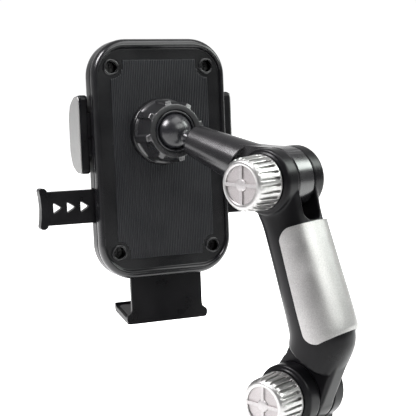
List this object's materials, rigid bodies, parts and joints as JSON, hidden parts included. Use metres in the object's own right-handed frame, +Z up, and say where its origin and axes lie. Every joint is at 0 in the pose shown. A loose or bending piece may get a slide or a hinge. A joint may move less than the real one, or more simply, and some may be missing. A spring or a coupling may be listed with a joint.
{
  "type": "car phone mount",
  "caption": "Suction-base car phone mount: a two-elbow arm with clamp knobs and a ball joint carries a spring-jaw phone cradle with squeeze levers and a sliding foot.",
  "frame": {"origin": "centre of the suction face, at the bottom of the base", "axes": "+Z up out of the suction face; X along the elbow bolts with the clamp knobs on the -X side; the cradle hangs on the +Y side"},
  "size_m": [0.1129, 0.1874, 0.2095],
  "materials": {
    "black_plastic": "satin moulded, fine grain",
    "gloss_black": "polished",
    "suction_rubber": "matt, slightly tacky",
    "grip_rubber": "matt",
    "silver_metal": "satin silver",
    "silver_trim": "brushed, satin",
    "steel": "zinc plated",
    "brass": "machined",
    "nylon": "natural"
  },
  "bodies": {
    "base": {"suction_pad": "suction_rubber", "pad_stem": "black_plastic", "base_housing": "black_plastic", "lever_pin": "steel", "swivel_screw": "steel", "swivel_washer": "nylon"},
    "lock_lever": {"lock_lever": "black_plastic"},
    "turret": {"base_turret": "black_plastic", "lower_bolt": "steel", "lower_knob_washer": "steel"},
    "lower_knob": {"lower_knob": "silver_metal", "lower_knob_insert": "brass"},
    "arm": {"upper_arm": "black_plastic", "arm_plate": "silver_metal", "lower_friction_washer_near": "nylon", "lower_friction_washer_far": "nylon", "upper_bolt": "steel", "upper_knob_washer": "steel"},
    "upper_knob": {"upper_knob": "silver_metal", "upper_knob_insert": "brass"},
    "tube": {"tube_arm": "black_plastic", "ball_stud": "gloss_black", "upper_friction_washer_near": "nylon", "upper_friction_washer_far": "nylon"},
    "ball_seat": {"ball_seat": "nylon"},
    "ball_liner": {"ball_liner": "gloss_black"},
    "collar_nut": {"collar_nut": "black_plastic"},
    "cradle": {"rear_cover": "black_plastic", "front_cover": "black_plastic", "front_pad": "grip_rubber", "cover_screw_1": "steel", "cover_screw_2": "steel", "cover_screw_3": "steel", "cover_screw_4": "steel", "pinion_screw": "steel", "foot_spring": "steel", "return_spring": "steel"},
    "left_jaw": {"left_slider": "black_plastic", "left_jaw_pad": "grip_rubber", "left_jaw_trim": "silver_trim"},
    "right_jaw": {"right_slider": "black_plastic", "right_jaw_pad": "grip_rubber", "right_jaw_trim": "silver_trim"},
    "pinion": {"pinion": "nylon"},
    "foot": {"foot": "black_plastic", "foot_pad": "grip_rubber"}
  },
  "joints": [
    {"name": "base_swivel", "type": "hinge", "parent": "base", "child": "turret", "pos_m": [0, 0, 0.0244], "axis": [0, 0, 1], "continuous": true},
    {"name": "lock_lever_pivot", "type": "hinge", "parent": "base", "child": "lock_lever", "pos_m": [0, -0.027, 0.013], "axis": [-1, 0, 0], "range_deg": [0, 65]},
    {"name": "lower_elbow", "type": "hinge", "parent": "turret", "child": "arm", "pos_m": [0, 0, 0.056], "axis": [1, 0, 0], "range_deg": [-35, 25]},
    {"name": "lower_knob_turn", "type": "hinge", "parent": "turret", "child": "lower_knob", "pos_m": [0, 0, 0.056], "axis": [-1, 0, 0], "range_deg": [0, 270]},
    {"name": "upper_elbow", "type": "hinge", "parent": "arm", "child": "tube", "pos_m": [0, 0.01064, 0.14738], "axis": [1, 0, 0], "range_deg": [-35, 60]},
    {"name": "upper_knob_turn", "type": "hinge", "parent": "arm", "child": "upper_knob", "pos_m": [0, 0.01064, 0.14738], "axis": [-1, 0, 0], "range_deg": [0, 270]},
    {"name": "ball_yaw", "type": "hinge", "parent": "tube", "child": "ball_seat", "pos_m": [0, 0.07494, 0.16606], "axis": [0.0272, 0.0595, 0.9979], "range_deg": [-3, 50]},
    {"name": "ball_tilt", "type": "hinge", "parent": "ball_seat", "child": "ball_liner", "pos_m": [0, 0.07494, 0.16606], "axis": [0.9092, -0.4163, 0], "range_deg": [-3, 39]},
    {"name": "cradle_spin", "type": "hinge", "parent": "ball_liner", "child": "cradle", "pos_m": [0, 0.07494, 0.16606], "axis": [0.4154, 0.9073, -0.0654], "continuous": true},
    {"name": "collar_turn", "type": "hinge", "parent": "cradle", "child": "collar_nut", "pos_m": [0, 0.07494, 0.16606], "axis": [-0.4154, -0.9073, 0.0654], "range_deg": [0, 60]},
    {"name": "left_jaw_slide", "type": "slide", "parent": "cradle", "child": "left_jaw", "axis": [-0.9092, 0.4163, 0], "range_m": [0, 0.016], "stiffness_N_per_m": 150, "springref_m": -0.015, "deforming": ["return_spring"]},
    {"name": "right_jaw_slide", "type": "slide", "parent": "cradle", "child": "right_jaw", "axis": [0.9092, -0.4163, 0], "range_m": [0, 0.016]},
    {"name": "pinion_spin", "type": "hinge", "parent": "cradle", "child": "pinion", "pos_m": [0.00934, 0.09533, 0.15357], "axis": [-0.4154, -0.9073, 0.0654], "range_deg": [-5, 160]},
    {"name": "foot_slide", "type": "slide", "parent": "cradle", "child": "foot", "axis": [-0.0272, -0.0595, -0.9979], "range_m": [-0.005, 0.015]}
  ],
  "couplings": [
    {"joint": "right_jaw_slide", "follows": "left_jaw_slide", "ratio": 1},
    {"joint": "pinion_spin", "follows": "left_jaw_slide", "rad_per_m": 166.67}
  ]
}
